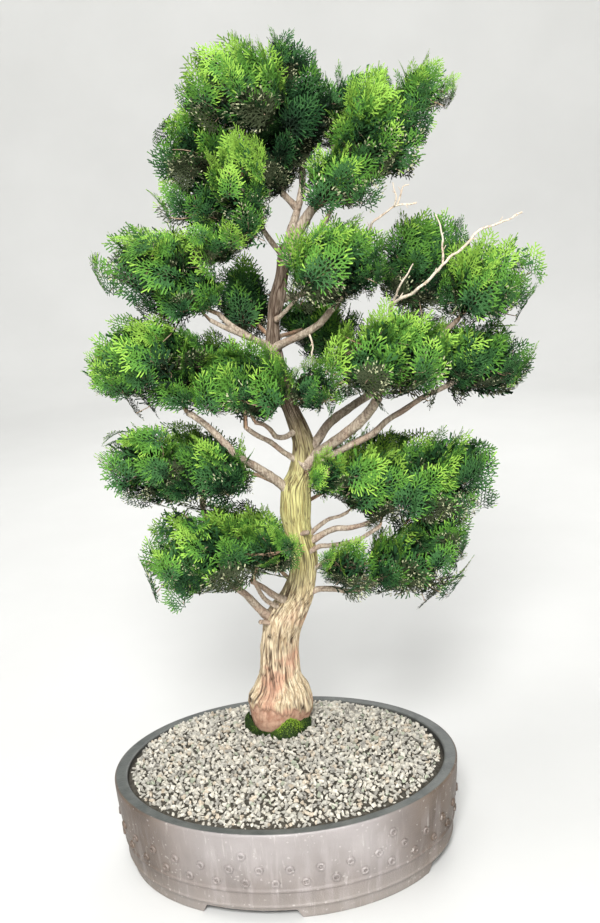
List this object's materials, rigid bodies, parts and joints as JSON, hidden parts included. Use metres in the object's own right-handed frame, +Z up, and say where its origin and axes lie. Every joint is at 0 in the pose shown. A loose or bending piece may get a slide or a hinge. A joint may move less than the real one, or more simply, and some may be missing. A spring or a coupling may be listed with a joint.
{
  "type": "potted bonsai tree",
  "caption": "Cypress bonsai in a shallow oval pot: bare, gently curved trunk with a flared foot, slender boughs and clouds of fan-shaped foliage over pale gravel.",
  "frame": {"origin": "middle of the whole plant's footprint, at the level of the pot's foot", "axes": "+Z up, +X to the right along the pot's length, +Y away from the front of the tree"},
  "size_m": [0.5135, 0.3943, 0.9306],
  "materials": {
    "pot": "unglazed grey-mauve stoneware, matt, with chalky scuffs",
    "gravel": "loose angular grey-beige grit",
    "moss": "soft and matt",
    "bark": "pale stringy bark with long shallow furrows",
    "bough_bark": "thin brown bark",
    "dead_wood": "bare pale wood",
    "foliage": "flat fans of scale leaves, bright green at the tips"
  },
  "bodies": {
    "root": {"bough_left_1": "bough_bark", "bough_left_2": "bough_bark", "bough_left_3": "bough_bark", "bough_left_inner_1": "bough_bark", "bough_left_inner_2": "bough_bark", "bough_left_long": "bough_bark", "bough_left_low": "bough_bark", "bough_right_bottom_1": "bough_bark", "bough_right_bottom_2": "bough_bark", "bough_right_front": "bough_bark", "bough_right_low_1": "bough_bark", "bough_right_low_2": "bough_bark", "bough_right_low_3": "bough_bark", "bough_right_tip": "bough_bark", "bough_right_under": "bough_bark", "bough_upper_back": "bough_bark", "bough_upper_left_1": "bough_bark", "bough_upper_left_2": "bough_bark", "bough_upper_right_1": "bough_bark", "bough_upper_right_2": "bough_bark", "dead_twig_hanging": "dead_wood", "dead_twig_right": "dead_wood", "dead_twig_top": "dead_wood", "foliage_back_bottom": "foliage", "foliage_back_low_left": "foliage", "foliage_back_low_right": "foliage", "foliage_back_middle_left": "foliage", "foliage_back_middle_right": "foliage", "foliage_back_upper": "foliage", "foliage_crown_back": "foliage", "foliage_crown_front": "foliage", "foliage_crown_left": "foliage", "foliage_crown_middle": "foliage", "foliage_crown_right": "foliage", "foliage_left_bottom": "foliage", "foliage_left_inner": "foliage", "foliage_left_low": "foliage", "foliage_left_middle": "foliage", "foliage_right_bottom": "foliage", "foliage_right_front": "foliage", "foliage_right_inner": "foliage", "foliage_right_low": "foliage", "foliage_right_tip": "foliage", "foliage_right_tuft": "foliage", "foliage_right_under": "foliage", "foliage_upper_left": "foliage", "foliage_upper_left_inner": "foliage", "foliage_upper_right": "foliage", "foliage_upper_right_back": "foliage", "gravel": "gravel", "leader_back": "bough_bark", "leader_crown_left": "bough_bark", "leader_left": "bough_bark", "leader_middle": "bough_bark", "leader_right_1": "bough_bark", "leader_right_2": "bough_bark", "moss": "moss", "pot": "pot", "trunk": "bark"}
  },
  "joints": []
}
